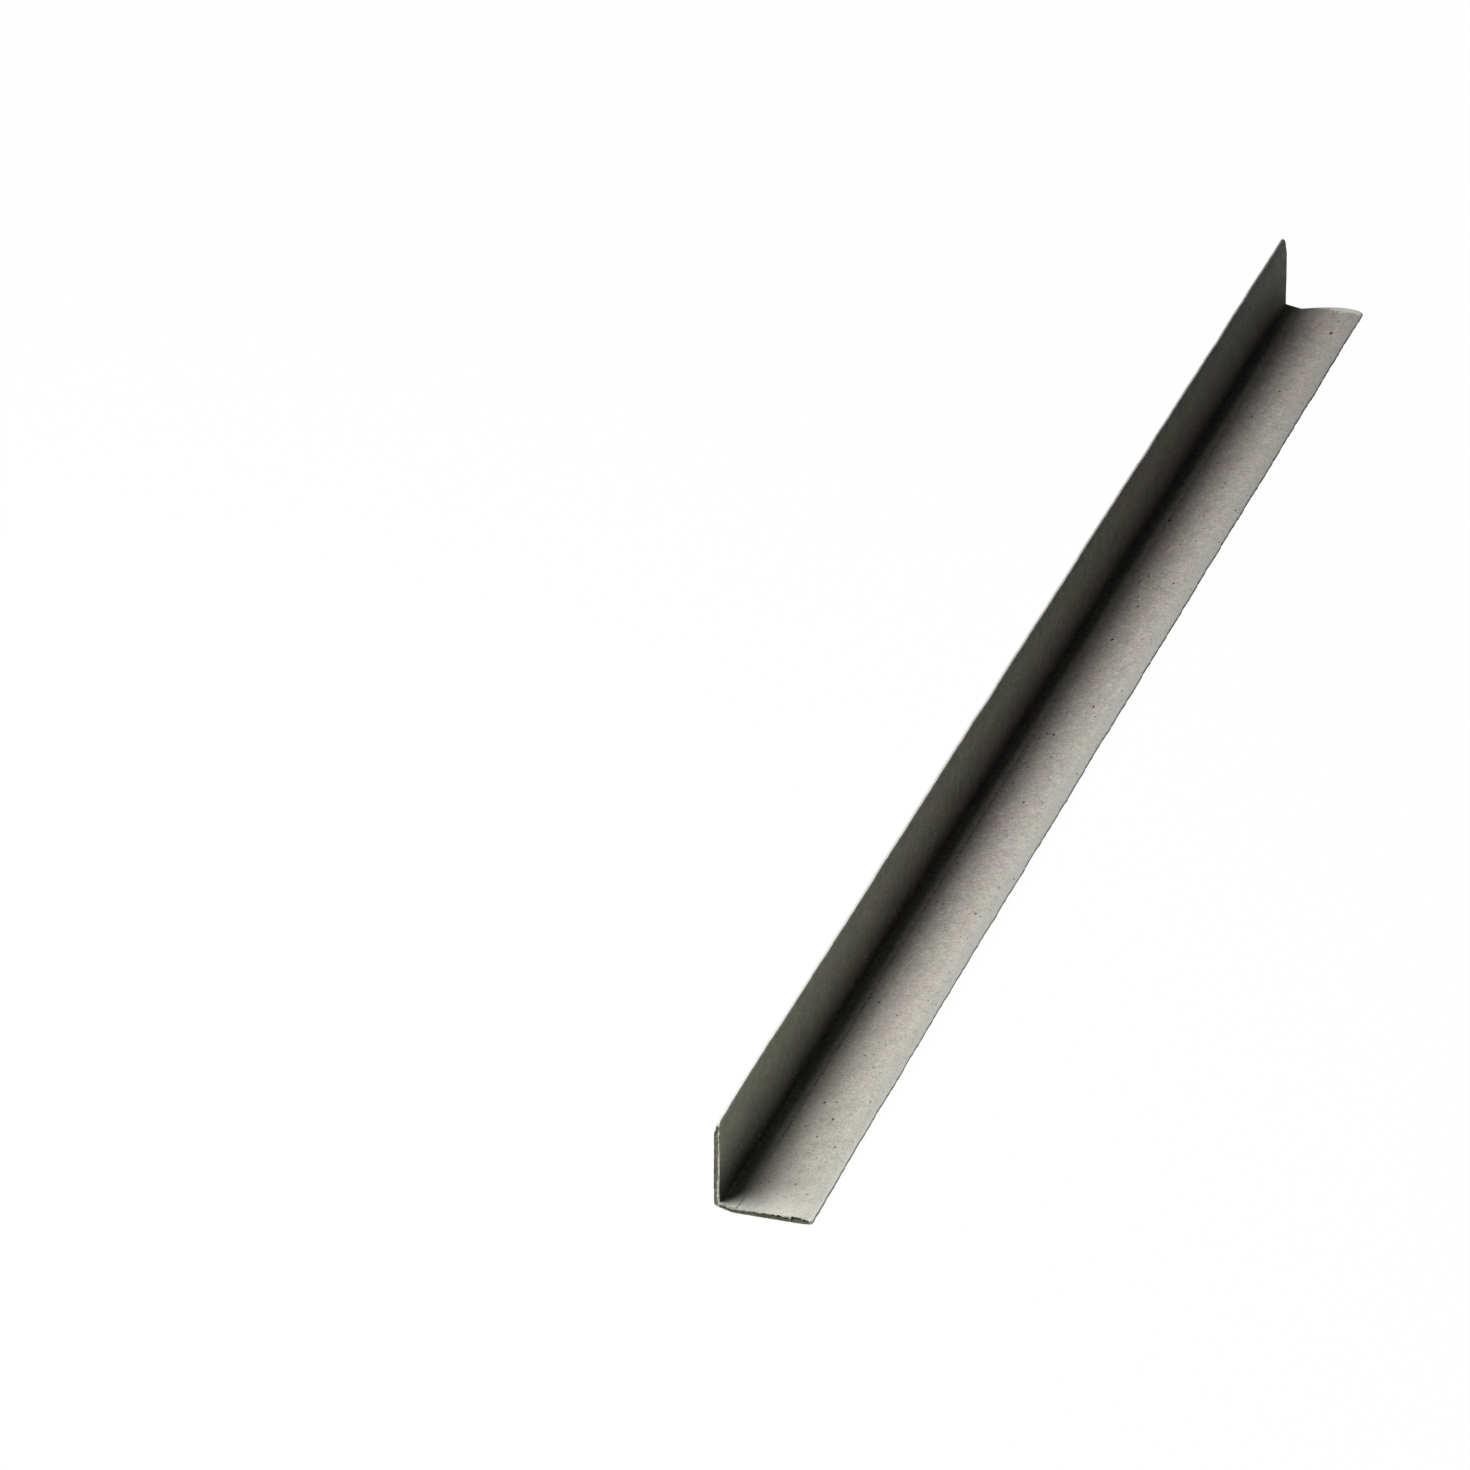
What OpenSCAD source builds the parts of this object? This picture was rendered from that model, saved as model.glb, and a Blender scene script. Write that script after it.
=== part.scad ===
// Pallet edge protector: one angle of laminated recycled board, rolled and cut to length.
// The flat leg lies on the floor and the upright leg stands along its back.
// X runs across the flat leg, Y along the board from the near cut to the far cut, Z up.
// The origin is on the floor, half way along and half way across.

/* [Board] */
// Length of the board, cut to cut
board_l = 1000; // [500:10:2000]
// Height of the upright leg's top edge above the floor
upright_h = 51; // [35:0.5:100]
// Width of the flat leg, from the back of the corner to its tip
flat_w = 50.4; // [40:0.2:100]
// Thickness of the glued plies
wall_t = 3; // [2:0.1:4]

/* [Corner] */
// Inner radius of the rolled corner
corner_r = 0.6; // [0.3:0.1:2]
// Height that the corner's round is lifted off the floor
corner_lift = 1.85; // [0.2:0.05:2.4]
// Angle that the upright leans in over the flat leg
lean_a = 1.4; // [0:0.1:4]
// Distance from the back of the corner to the line where the leg meets the floor, at the near cut
foot_near_x = 10.5; // [10:0.5:16]
// Distance from the back of the corner to the line where the leg meets the floor, at the far cut
foot_far_x = 12.5; // [10:0.5:16]
// Half the width over which the fold behind that line is rounded
fold_w = 1.6; // [1:0.1:2.5]

/* [Arched leg] */
// Height of the flat leg's arch at its crest, past the pressed stretch
arch_h = 4.6; // [0:0.1:8]
// Part of the arch's height that is left at the far cut
arch_far_share = 0.82; // [0:0.01:1]
// Angle of the sine wave that the arch follows from the fold line to the tip
arch_turn_a = 115; // [90:1:140]
// Drop of the leg's tip below the arch's own line
tip_droop = 1.2; // [0:0.1:2]
// Width of the strip at the tip that droops
tip_strip = 7; // [4:0.5:12]
// Length at the near cut over which the leg is pressed down flat
press_l = 250; // [60:10:400]

/* [Cut ends] */
// Height that the inner ply is lifted at the near cut
ply_lift = 0.6; // [0:0.1:1.2]
// Distance of the lifted ply's middle from the tip
ply_lift_in = 9.5; // [7:0.5:12]
// Half the width of the lifted ply
ply_lift_w = 6; // [3:0.5:7]
// Length of the lifted ply, in from the near cut
ply_lift_l = 12; // [4:1:40]
// Radius of the upright's worn top corner at the near cut
near_top_r = 2; // [0.5:0.5:10]
// Radius of the upright's worn top corner at the far cut
far_top_r = 8.5; // [0.5:0.5:12]
// Radius of the flat leg's worn corner at both cuts
tip_corner_r = 1.2; // [0.4:0.2:10]

/* [Hidden] */

// How finely each stretch of the section and of the length is divided
corner_steps = 8;
fold_steps = 6;
leg_steps = 16;
round_steps = 8;
worn_steps = 6;
press_steps = 12;
long_steps = 14;

half_t = wall_t / 2;
outer_r = corner_r + wall_t;
mid_r = corner_r + half_t;
corner_z = outer_r + corner_lift;
tip_x = flat_w - half_t;
top_z = upright_h - half_t;
worn_l = max(near_top_r, far_top_r, tip_corner_r);

// Unit vectors of the upright in the section, up the leg and out of its back
up_v = [sin(lean_a), cos(lean_a)];
back_v = [-cos(lean_a), sin(lean_a)];

// Start of the upright on the corner's round, and its middle line's length above that
upright_foot = [outer_r, corner_z] + mid_r * back_v;
upright_run = (top_z - upright_foot[1]) / up_v[1];

// Smooth step from 0 to a straight line of slope 1, rounded over twice the width w
function soft_ramp(v, w) = v <= -w ? 0 : v >= w ? v : (v + w) * (v + w) / (4 * w);

// Amount that a corner of radius r is worn away at distance d from a cut
function worn(r, d) = d >= r ? 0 : r - sqrt(max(0, r * r - (r - d) * (r - d)));

// Place of the sharp fold line, before it is rounded, at distance d from the near cut
function fold_x(d) = foot_near_x + (foot_far_x - foot_near_x) * d / board_l - fold_w;

// Pitch of the strip between the corner's round and the fold
function strip_a(d) =
    let (run = fold_x(d) - outer_r)
    acos(outer_r / norm([corner_z, run])) - atan2(run, corner_z);

// Place of the fold in the leg's middle line
function mid_fold_x(d) = fold_x(d) + half_t * tan(strip_a(d) / 2);

// Height of the arch's crest at distance d from the near cut
function crest(d) =
    let (past = max(0, d - press_l) / (board_l - press_l))
    arch_h * (d < press_l ? sin(90 * d / press_l) : 1 - (1 - arch_far_share) * past * past);

// Height of the flat leg's middle line over the floor, at x across and d along
function leg_z(x, d) =
    let (fx = mid_fold_x(d))
    let (foot = fx + fold_w)
    let (u = max(0, x - foot) / (tip_x - foot))
    let (tip = max(0, x - tip_x + tip_strip) / tip_strip)
    let (rise = arch_h > 0 ? crest(d) / arch_h : 0)
    half_t
    + tan(strip_a(d)) * soft_ramp(fx - x, fold_w)
    + crest(d) * sin(arch_turn_a * u)
    - min(tip_droop, arch_h / 2) * rise * tip * tip;

// Lift of the inner ply off the plies below, near the near cut
function ply_gap(x, d) =
    let (v = abs(x - tip_x + ply_lift_in - half_t) / ply_lift_w)
    let (along = max(0, 1 - d / ply_lift_l))
    v < 1 ? ply_lift * along * along * cos(90 * v) : 0;

// Middle line of the section: down the upright, round the corner, over the fold, out to the tip
function mid_line(d, end) =
    let (a = strip_a(d))
    let (centre = [outer_r, corner_z])
    let (top_r = d < end ? near_top_r : far_top_r)
    let (cut = min(d, board_l - d))
    let (start_x = outer_r - mid_r * sin(a))
    let (fx = mid_fold_x(d))
    let (last_x = tip_x - worn(tip_corner_r, cut))
    concat(
        [upright_foot + (upright_run - worn(top_r, cut)) * up_v],
        [for (k = [0 : corner_steps])
            let (t = 180 - lean_a + (90 + lean_a - a) * k / corner_steps)
            centre + mid_r * [cos(t), sin(t)]],
        [for (k = [0 : fold_steps])
            let (x = max(start_x + fold_w / 4, fx - fold_w) * (1 - k / fold_steps)
                + (fx + fold_w) * k / fold_steps)
            [x, leg_z(x, d)]],
        [for (k = [1 : leg_steps])
            let (x = fx + fold_w + (last_x - fx - fold_w) * sin(90 * k / leg_steps))
            [x, leg_z(x, d)]]
    );

// Unit direction of a middle line at its point k
function way(p, k) =
    let (v = p[min(k + 1, len(p) - 1)] - p[max(k - 1, 0)])
    v / norm(v);

// Closed outline of the section: outer face out to the tip, its round, inner face back, top round
function outline(d, end) =
    let (p = mid_line(d, end))
    let (n = len(p))
    let (first = -up_v)
    let (last = (p[n - 1] - p[n - 2]) / norm(p[n - 1] - p[n - 2]))
    concat(
        [for (k = [0 : n - 2])
            let (w = k == 0 ? first : k == 1 ? first : way(p, k))
            p[k] + half_t * [w[1], -w[0]]],
        [for (k = [0 : round_steps])
            let (t = -90 + 180 * k / round_steps)
            p[n - 1] + half_t * (cos(t) * last + sin(t) * [-last[1], last[0]])],
        [for (k = [n - 2 : -1 : 1])
            let (w = k == 1 ? first : way(p, k))
            p[k] + (half_t + ply_gap(p[k][0], d)) * [-w[1], w[0]]],
        [for (k = [0 : round_steps - 1])
            let (t = -90 + 180 * k / round_steps)
            p[0] + half_t * (cos(t) * -first + sin(t) * [first[1], -first[0]])]
    );

// Distances of the sections from the near cut: close where a corner is worn, wide between
stations = concat(
    [for (k = [0 : worn_steps]) worn_l * (1 - cos(90 * k / worn_steps))],
    [for (k = [1 : press_steps]) worn_l + (press_l - worn_l) * k / press_steps],
    [for (k = [1 : long_steps - 1]) press_l + (board_l - worn_l - press_l) * k / long_steps],
    [for (k = [worn_steps : -1 : 0]) board_l - worn_l * (1 - cos(90 * k / worn_steps))]
);

// Faces of a cut, whose ring of points starts at index i: the two faces' points in pairs, then
// the rounds at the tip and at the top
function cut_faces(i) =
    let (n = len(mid_line(0, board_l)))
    let (tip = n - 1)
    let (back = tip + round_steps)
    let (top = 2 * n + round_steps - 2)
    let (inner = function (k) k == 0 ? top : back + n - 1 - k)
    concat(
        [for (k = [0 : n - 3]) [i + k, i + inner(k), i + inner(k + 1), i + k + 1]],
        [[i + n - 2, i + inner(n - 2), i + back, i + tip]],
        [[for (k = [round_steps : -1 : 0]) i + tip + k]],
        [concat([i], [for (k = [round_steps - 1 : -1 : 0]) i + top + k])]
    );

// Same faces seen from their other side
function turned(faces) = [for (f = faces) [for (k = [len(f) - 1 : -1 : 0]) f[k]]];

// Board lofted through its sections, each ring joined to the next
module lofted_board() {
    rings = [for (d = stations) outline(d, board_l / 2)];
    rows = len(rings);
    cols = len(rings[0]);
    points = [for (i = [0 : rows - 1]) for (q = rings[i])
        [q[0] - flat_w / 2, stations[i] - board_l / 2, q[1]]];
    sides = [for (i = [0 : rows - 2]) for (j = [0 : cols - 1])
        let (a = i * cols + j)
        let (b = i * cols + (j + 1) % cols)
        each [[a, b + cols, a + cols], [a, b, b + cols]]];
    polyhedron(points, concat(cut_faces(0), turned(cut_faces((rows - 1) * cols)), sides),
        convexity = 6);
}

module angle_board() {
    color([0.72, 0.70, 0.66])
        lofted_board();
}

angle_board();
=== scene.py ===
"""A pallet edge protector: one angle of laminated recycled board, lying on its flat leg."""

import math

import bpy
import numpy as np
from mathutils import Matrix, Vector


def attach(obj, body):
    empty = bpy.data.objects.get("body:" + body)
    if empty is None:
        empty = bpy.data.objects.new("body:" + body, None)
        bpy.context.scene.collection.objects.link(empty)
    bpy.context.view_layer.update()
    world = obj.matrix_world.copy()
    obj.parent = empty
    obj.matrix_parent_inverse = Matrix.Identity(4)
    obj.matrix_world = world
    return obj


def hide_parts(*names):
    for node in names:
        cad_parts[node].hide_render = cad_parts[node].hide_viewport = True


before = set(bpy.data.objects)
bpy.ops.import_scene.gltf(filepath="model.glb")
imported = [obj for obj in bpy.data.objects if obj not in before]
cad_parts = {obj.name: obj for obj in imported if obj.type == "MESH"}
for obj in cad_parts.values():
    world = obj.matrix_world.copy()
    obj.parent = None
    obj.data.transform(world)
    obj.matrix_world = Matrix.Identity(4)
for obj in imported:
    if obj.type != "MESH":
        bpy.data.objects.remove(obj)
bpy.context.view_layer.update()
rng = np.random.default_rng(41)
MM = 0.001

# The board, in millimetres, with the origin at the foot of the near cut's outer corner
LENGTH, HEIGHT, WIDTH, WALL = 1000.0, 51.0, 50.4, 3.0
CORNER_R, CORNER_LIFT, LEAN = 0.6, 1.85, math.radians(1.4)
FOOT_NEAR, FOOT_FAR, FOLD_W, FOLD_SOFT = 10.5, 12.5, 1.6, 4.2
ARCH_H, ARCH_FAR, ARCH_TURN = 4.6, 0.82, math.radians(115)
TIP_DROOP, TIP_STRIP, PRESS_L = 1.2, 7.0, 250.0
PLY_LIFT, PLY_LIFT_IN, PLY_LIFT_W, PLY_LIFT_L = 0.6, 9.5, 6.0, 12.0
NEAR_TOP_R, FAR_TOP_R, TIP_CORNER_R = 2.0, 8.5, 1.2

# The top edge at the near and the far cut: how square its round is, how thick, how low it has worn
TOP_SQUARE, TOP_THICK, TOP_LOW = (4.0, 2.2), (1.75, 1.40), (0.25, 0.0)

# Where the wall starts to thin below the top edge, and how far its inner face is worn back there,
# from what distance along the board and over what length
TOP_TAPER, TOP_BACK, TOP_BACK_FROM = 4.0, 0.62, (60.0, 500.0)

# The tip: how square its round is, what share of the wall is crushed at each cut, over what width
TIP_SQUARE, TIP_CRUSH, TIP_CRUSH_W = 2.6, (0.30, 0.06), 5.0

# How much further the upright leans in at the near cut, over what length, and how much fuller the
# corner's outer face is
NEAR_LEAN, NEAR_LEAN_L, CORNER_FULL = 0.5, 60.0, 0.3

# The hairline crease: where it wanders (along, across), how plain it is, half width and depth
CREASE_PATH = (
    (0, 11.2), (10, 12.15), (40, 12.15), (76, 12.0), (92, 11.8), (141, 12.05), (166, 12.4),
    (190, 12.45), (210, 11.95), (285, 12.1), (420, 12.2), (500, 12.05), (700, 12.55),
    (820, 13.2), (880, 12.95), (1000, 13.2),
)
CREASE_SHOWN = (
    (0, 1.2), (8, 1.2), (11, 0.0), (40, 0.1), (65, 0.8), (410, 0.8), (470, 0.3), (530, 0.0),
    (620, 0.0), (700, 0.35), (780, 0.6), (850, 0.25), (1000, 0.1),
)
CREASE_W, CREASE_DEEP = 0.26, 0.24

# Dark specks that stand out on the flat leg: along, across and radius
SPOTS = (
    (580, 23.2, 0.89), (966, 40.2, 1.02), (740, 47.0, 0.55), (472, 23.8, 0.85), (334, 14.5, 0.58),
    (504, 36.0, 0.55), (84, 31.8, 0.61), (474, 19.5, 0.58), (193, 19.0, 0.61), (619, 26.2, 0.68),
    (647, 38.2, 0.58), (398, 30.2, 0.68), (98, 22.5, 0.61), (655, 21.5, 0.66), (68, 29.2, 0.44),
    (123, 23.2, 0.42), (854, 23.8, 0.68), (525, 45.5, 0.42), (724, 13.0, 0.77), (887, 31.0, 0.64),
    (294, 16.0, 0.47), (648, 18.0, 0.51), (447, 30.0, 0.44), (76, 20.5, 0.42), (25, 19.0, 0.36),
    (419, 17.5, 0.47), (229, 23.0, 0.41), (368, 30.0, 0.42),
)

HALF = WALL / 2
OUTER_R, MID_R = CORNER_R + WALL, CORNER_R + HALF
CORNER_Z = OUTER_R + CORNER_LIFT
TIP_X, TOP_Z = WIDTH - HALF, HEIGHT - HALF
UP = np.array([math.sin(LEAN), math.cos(LEAN)])
BACK = np.array([-math.cos(LEAN), math.sin(LEAN)])
FOOT = np.array([OUTER_R, CORNER_Z]) + MID_R * BACK
RUN = (TOP_Z - FOOT[1]) / UP[1]
ORIGIN = np.array([WIDTH / 2, LENGTH / 2, 0.0])

# The view: angles in degrees, distances in millimetres, and the frame's width in pixels
AZIMUTH, ELEVATION, ROLL = 20.942, 29.877, -2.711
AIM_X, AIM_Y, DISTANCE = -9.814, -228.99, 3448.644
FOCAL_PX, FRAME_PX, SENSOR_MM, CLIP_END_M = 7150.878, 1470.0, 36.0, 50.0

# The lamp, as seen from the near cut: its turn from -X towards -Y and its height as angles, then
# its distance and width in metres, and its watts
KEY_AZIMUTH, KEY_ELEVATION, KEY_DISTANCE = math.radians(22), math.radians(63.5), 1.85
KEY_SIZE, KEY_WATTS = 1.34, 44.5

# The light of the surroundings
AMBIENT, SKY = 0.0104, (0.74, 0.85, 1.0, 1)

# The floor: half its width, in metres, and the colours that it throws back on the board
FLOOR_HALF = 6.0
FLOOR_NEAR, FLOOR_FAR = (0.370, 0.415, 0.375, 1), (0.145, 0.165, 0.150, 1)
FLOOR_FRONT, FLOOR_BEYOND = (0.56, 0.59, 0.54, 1), (0.68, 0.81, 0.77, 1)

# Where one of these colours turns into the next, in metres along the board
TURN_TO_FAR, TURN_TO_BEYOND, TURN_TO_FRONT = (-0.4, 0.4), (0.45, 0.50), (-0.50, -0.53)

# How white the floor is to the camera, and the paint under that white, which takes the shadow
FLOOR_WHITE, FLOOR_PAINT, WHITE = 0.985, (0.9, 0.9, 0.9, 1), (1, 1, 1, 1)


# Camera and light


def make_camera():
    a, e, r = (math.radians(v) for v in (AZIMUTH, ELEVATION, ROLL))
    back = Vector((math.sin(a) * math.cos(e), -math.cos(a) * math.cos(e), math.sin(e)))
    level = Vector((math.cos(a), math.sin(a), 0.0))
    upward = back.cross(level)
    right = math.cos(r) * level + math.sin(r) * upward
    up = -math.sin(r) * level + math.cos(r) * upward
    place = back * DISTANCE - right * AIM_X - up * AIM_Y - Vector(ORIGIN)
    data = bpy.data.cameras.new("camera")
    data.sensor_width = SENSOR_MM
    data.lens = FOCAL_PX / FRAME_PX * SENSOR_MM
    data.clip_end = CLIP_END_M
    camera = bpy.data.objects.new("camera", data)
    turn = Matrix((right, up, back)).transposed().to_4x4()
    camera.matrix_world = Matrix.Translation(place * MM) @ turn
    bpy.context.collection.objects.link(camera)
    bpy.context.scene.camera = camera


def make_lamp():
    aim = Vector((0, -LENGTH / 2 * MM, 0))
    level = KEY_DISTANCE * math.cos(KEY_ELEVATION)
    rise = KEY_DISTANCE * math.sin(KEY_ELEVATION)
    place = aim + Vector((-level * math.cos(KEY_AZIMUTH), -level * math.sin(KEY_AZIMUTH), rise))
    data = bpy.data.lights.new("key", "AREA")
    data.shape = "DISK"
    data.size = KEY_SIZE
    data.energy = KEY_WATTS
    lamp = bpy.data.objects.new("key", data)
    turn = (aim - place).to_track_quat("-Z", "Y").to_matrix().to_4x4()
    lamp.matrix_world = Matrix.Translation(place) @ turn
    bpy.context.collection.objects.link(lamp)


# Node helpers

# Share of a speck's radius inside which it is solid
SPECK_CORE = 0.5


class Nodes:
    """Builds a node tree from short calls. A value is a number, a tuple or another socket."""

    def __init__(self, tree):
        self.tree = tree
        tree.nodes.clear()

    def add(self, kind, inputs=(), out=0, **props):
        node = self.tree.nodes.new(kind)
        for key, value in props.items():
            setattr(node, key, value)
        for key, value in dict(inputs).items():
            if isinstance(value, bpy.types.NodeSocket):
                self.tree.links.new(value, node.inputs[key])
            else:
                node.inputs[key].default_value = value
        return node.outputs[out] if len(node.outputs) else node

    def maths(self, op, a, b=0.0):
        return self.add("ShaderNodeMath", {0: a, 1: b}, operation=op)

    def vector(self, op, a, b, out=0):
        return self.add("ShaderNodeVectorMath", {0: a, 1: b}, out, operation=op)

    def ramp(self, value, lo, hi, to_lo=0.0, to_hi=1.0, kind="SMOOTHSTEP"):
        inputs = {0: value, 1: lo, 2: hi, 3: to_lo, 4: to_hi}
        return self.add("ShaderNodeMapRange", inputs, interpolation_type=kind)

    def mix(self, share, a, b, blend="MIX"):
        inputs = {0: share, 6: a, 7: b}
        return self.add("ShaderNodeMix", inputs, 2, data_type="RGBA", blend_type=blend)

    def grey(self, value):
        return self.add("ShaderNodeCombineColor", {0: value, 1: value, 2: value})

    def noise(self, where, size, detail=2.0, rough=0.5, out=0):
        inputs = {"Vector": where, "Scale": 1 / size, "Detail": detail, "Roughness": rough}
        return self.add("ShaderNodeTexNoise", inputs, out)

    def attribute(self, name):
        return self.add("ShaderNodeAttribute", out=2, attribute_name=name)

    def along(self, where):
        return self.add("ShaderNodeSeparateXYZ", {0: where}, 1)

    def place_mm(self, scale=(1.0, 1.0, 1.0), turn=(0.0, 0.0, 0.0)):
        where = self.add("ShaderNodeTexCoord", out=3)
        size = tuple(s / MM for s in scale)
        return self.add("ShaderNodeMapping", {0: where, "Rotation": turn, "Scale": size})

    def specks(self, where, cell, small, large, rarity):
        """Irregular dots, one at most in each cell. Their radii run from small to large."""
        cells = self.add("ShaderNodeTexVoronoi", {"Vector": where, "Scale": 1 / cell}).node
        luck = self.add("ShaderNodeSeparateColor", {0: cells.outputs["Color"]})
        size = self.maths("POWER", luck, rarity)
        radius = self.ramp(size, 0.0, 1.0, small / cell, large / cell, "LINEAR")
        inner = self.maths("MULTIPLY", radius, SPECK_CORE)
        return self.ramp(cells.outputs["Distance"], inner, radius, 1.0, 0.0)

    def stain(self, colour, share, strength, other):
        """Lays another colour over one, where share says and at most at the given strength."""
        return self.mix(self.maths("MULTIPLY", share, strength), colour, other)

    def surface(self, colour, rough, height):
        normal = self.add("ShaderNodeBump", {"Distance": MM, "Height": height})
        inputs = {"Base Color": colour, "Roughness": rough, "Specular IOR Level": 0.0}
        shader = self.add("ShaderNodeBsdfPrincipled", {**inputs, "Normal": normal})
        self.add("ShaderNodeOutputMaterial", {0: shader})


def new_material(name):
    """A material with an empty node tree, and the helper that fills it."""
    material = bpy.data.materials.new(name)
    material.use_nodes = True
    return material, Nodes(material.node_tree)


# Materials

FACE, FACE_NEAR = (0.545, 0.510, 0.475, 1), (0.560, 0.538, 0.478, 1)
# Paleness of wear and painted light, then the colours of painted shade by the corner and on the leg
PALE_WEAR_AND_LIGHT, CORNER_SHADE_PAINT, LEG_SHADE_PAINT = (0.72, 0.715, 0.650, 1), (0.055, 0.050, 0.050, 1), (0.12, 0.10, 0.105, 1)
PINK_SHIFT, GREEN_SHIFT = (1.050, 0.985, 0.990, 1), (0.965, 1.010, 0.960, 1)
SPECK, FLECK = (0.034, 0.033, 0.030, 1), (0.80, 0.78, 0.72, 1)
# Pale colours of the rims and the lip, partly wear and partly painted light
RIM, LIP = (0.82, 0.81, 0.76, 1), (0.90, 0.89, 0.79, 1)
CUT_DARK, CUT_LINE = (0.375, 0.372, 0.295, 1), (0.085, 0.088, 0.062, 1)
CUT_PALE = (0.93, 0.90, 0.82, 1)

# Noise: size in millimetres, detail and roughness, and the spans of it that are used
DRIFT, DRIFT_SPAN = (13.0, 4.0, 0.6), (0.34, 0.66)
CLOUDS, GRAIN, LUMPS, GREY_SPAN = (8.0, 4.0, 0.62), (1.3, 3.0, 0.7), (2.1, 2.0, 0.6), (0.30, 0.70)
SMUDGES, SMUDGE_SPAN, SMUDGE_DARK = (4.5, 3.0, 0.6), (0.62, 0.78), 0.22
FINE_BUMP, FINE_H, LUMP_BUMP, LUMP_H = (0.55, 4.0, 0.65), 0.06, (5.0, 2.0), 0.12
FACE_ROUGH, CUT_ROUGH = (0.80, 0.94), 0.93

# How dark and how pale the pulp's clouds, grain and lumps are
CLOUD_RANGE, GRAIN_RANGE, LUMP_RANGE = (0.88, 1.10), (0.81, 1.17), (0.87, 1.11)

# Over what distance from the near cut the board's own tint and lumps come in, and how calm the
# leg's tint is before that
NEAR_ZONE, NEAR_CALM = (40.0, 340.0), 0.85

# Straight fibres: how they are drawn out and turned, then their noise, span and darkness
STRAND_SCALE, STRAND_TURN = (1.0, 0.22, 1.0), (0.0, 0.0, 0.5)
STRANDS, STRAND_SPAN, STRAND_DARK = (0.9, 2.0), (0.60, 0.72), 0.18

# Curled fibres: size, strength and colour of each kind, their half width, and where they show
CURLS = ((2.4, 0.24, SPECK), (3.1, 0.26, FLECK))
CURL_W, CURL_PARTS, CURL_SPAN = 0.045, 1.3, (0.48, 0.62)

# Small specks: size of a cell, smallest and largest radius, and how rare the large ones are
PALE_FLECKS = (2.6, 0.10, 0.60, 2.0)
FINE_DOTS, LARGE_DOTS = (2.1, 0.10, 0.52, 1.8), (4.0, 0.15, 0.72, 2.2)
PALE_STRENGTH, FINE_SHARE, DOT_STRENGTH = 0.50, 0.50, 0.76

# The specks of SPOTS: their strength, and where they fade, as shares of the radius
SPOT_STRENGTH, SPOT_FADE = 0.92, (0.5, 1.4)

# How the specks are drawn out along the board, and the noise that bends them, with its mean
DRAWN, WANDER, WANDER_MEAN = (1.0, 0.55, 1.0), (1.4, 2.0), 0.5

# What share of the flat leg's specks the upright has
UPRIGHT_SPECKLED = 0.35

# The crease: the noise that breaks it, its span, the least and the most of it, and the darkness
# of its painted shade
BREAKS, BREAK_SPAN, BREAK_RANGE, CREASE_DARK = (1.8, 2.0), (0.40, 0.62), (0.25, 1.0), 0.95

# Torn outlines of the lip and the rim: their noise, how far it reaches, and the edge's span
LIP_TEAR, LIP_STRENGTH = ((2.6, 3.0), 0.45, (0.15, 0.85)), 0.88
RIM_TEAR = ((1.1, 3.0), 0.30, (0.30, 0.70))
TEAR_SPAN = (0.25, 0.75)

# The sawn plies: their noise and its height, the dark patches and the glue lines
FUZZ, FUZZ_H, FUZZ_SPAN = (0.6, 3.0, 0.6), 0.20, (0.30, 0.60)
PATCHES, PATCH_SPAN, PATCH_DARK, LINE_DARK = (3.2, 2.0), (0.35, 0.65), 0.405, 0.8
PALE_SHIFT, PALE_SPAN = (-0.22, 0.26), (0.35, 0.65)


def pulp(nodes, colour, where, tinted=1.0, coarse=1.0):
    """Colour of recycled pulp: a tint that drifts, soft clouds, lumps and a fine grain."""

    def mottle(noise, span):
        return nodes.ramp(nodes.noise(where, *noise), *GREY_SPAN, *span, "LINEAR")

    drift = nodes.ramp(nodes.noise(where, *DRIFT), *DRIFT_SPAN)
    tint = nodes.mix(drift, PINK_SHIFT, GREEN_SHIFT)
    colour = nodes.mix(tinted, colour, tint, "MULTIPLY")
    colour = nodes.mix(coarse, colour, nodes.grey(mottle(LUMPS, LUMP_RANGE)), "MULTIPLY")
    shade = nodes.maths("MULTIPLY", mottle(CLOUDS, CLOUD_RANGE), mottle(GRAIN, GRAIN_RANGE))
    return nodes.mix(1.0, colour, nodes.grey(shade), "MULTIPLY")


def fibres(nodes, colour, where, bent):
    """Straight and curled fibres, and soft smudges, over the pulp."""
    strands = nodes.noise(nodes.place_mm(STRAND_SCALE, STRAND_TURN), *STRANDS)
    colour = nodes.stain(colour, nodes.ramp(strands, *STRAND_SPAN), STRAND_DARK, SPECK)
    for size, strength, other in CURLS:
        curl = nodes.maths("ABSOLUTE", nodes.maths("SUBTRACT", nodes.noise(bent, size, 1.0), 0.5))
        parts = nodes.ramp(nodes.noise(where, size * CURL_PARTS, 1.0), *CURL_SPAN)
        curl = nodes.maths("MULTIPLY", nodes.ramp(curl, 0.0, CURL_W, 1.0, 0.0), parts)
        colour = nodes.stain(colour, curl, strength, other)
    smudge = nodes.ramp(nodes.noise(bent, *SMUDGES), *SMUDGE_SPAN)
    return nodes.stain(colour, smudge, SMUDGE_DARK, SPECK)


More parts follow.
